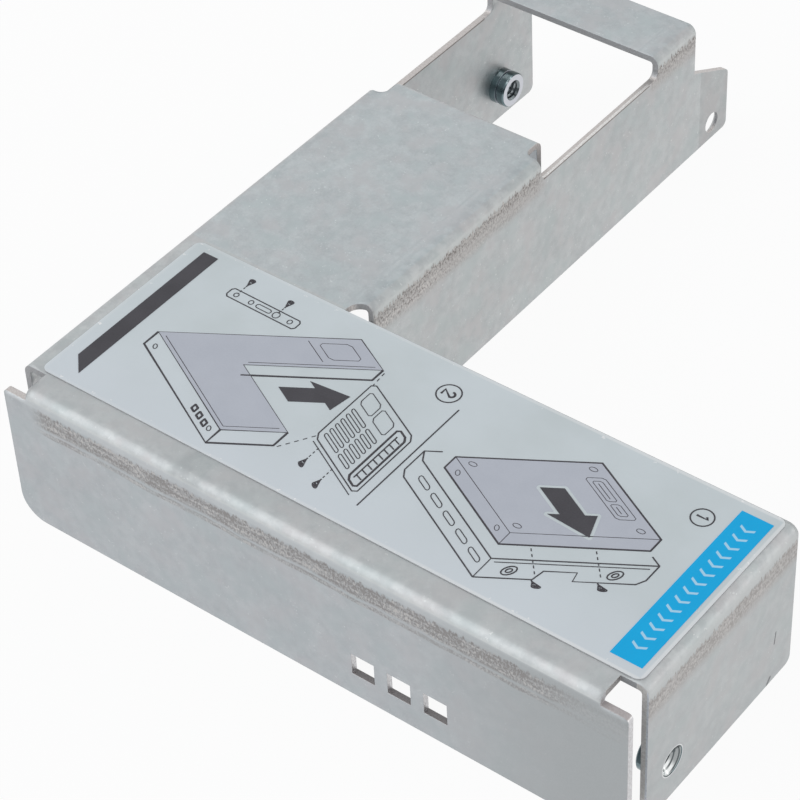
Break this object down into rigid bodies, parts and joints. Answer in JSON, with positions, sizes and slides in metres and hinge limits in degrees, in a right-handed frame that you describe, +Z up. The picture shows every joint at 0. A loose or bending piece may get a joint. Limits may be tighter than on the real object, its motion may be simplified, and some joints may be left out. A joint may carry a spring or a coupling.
{
  "type": "drive bay adapter bracket",
  "caption": "L-shaped folded sheet steel bracket that fills a 3.5 inch drive place and carries a 2.5 inch drive beside its narrow leg.",
  "frame": {"origin": "middle of the outline seen from above, on the plane that the wall edges stand on", "axes": "+X along the front wall, from the leg's side to the end wall; +Y from the front wall to the tab at the rear; +Z up, towards the labelled top"},
  "size_m": [0.1016, 0.1304, 0.025],
  "materials": {
    "galvanised_sheet": "satin",
    "zinc_plated_steel": "polished",
    "label_film": "satin",
    "print_dark": "matte",
    "print_grey": "matte",
    "print_blue": "matte"
  },
  "bodies": {
    "root": {"folded_bracket": "galvanised_sheet", "standoff_front_left": "zinc_plated_steel", "standoff_rear_left": "zinc_plated_steel", "standoff_front_right": "zinc_plated_steel", "label_film": "label_film", "label_print_dark": "print_dark", "label_print_grey": "print_grey", "label_print_blue": "print_blue"}
  },
  "joints": []
}
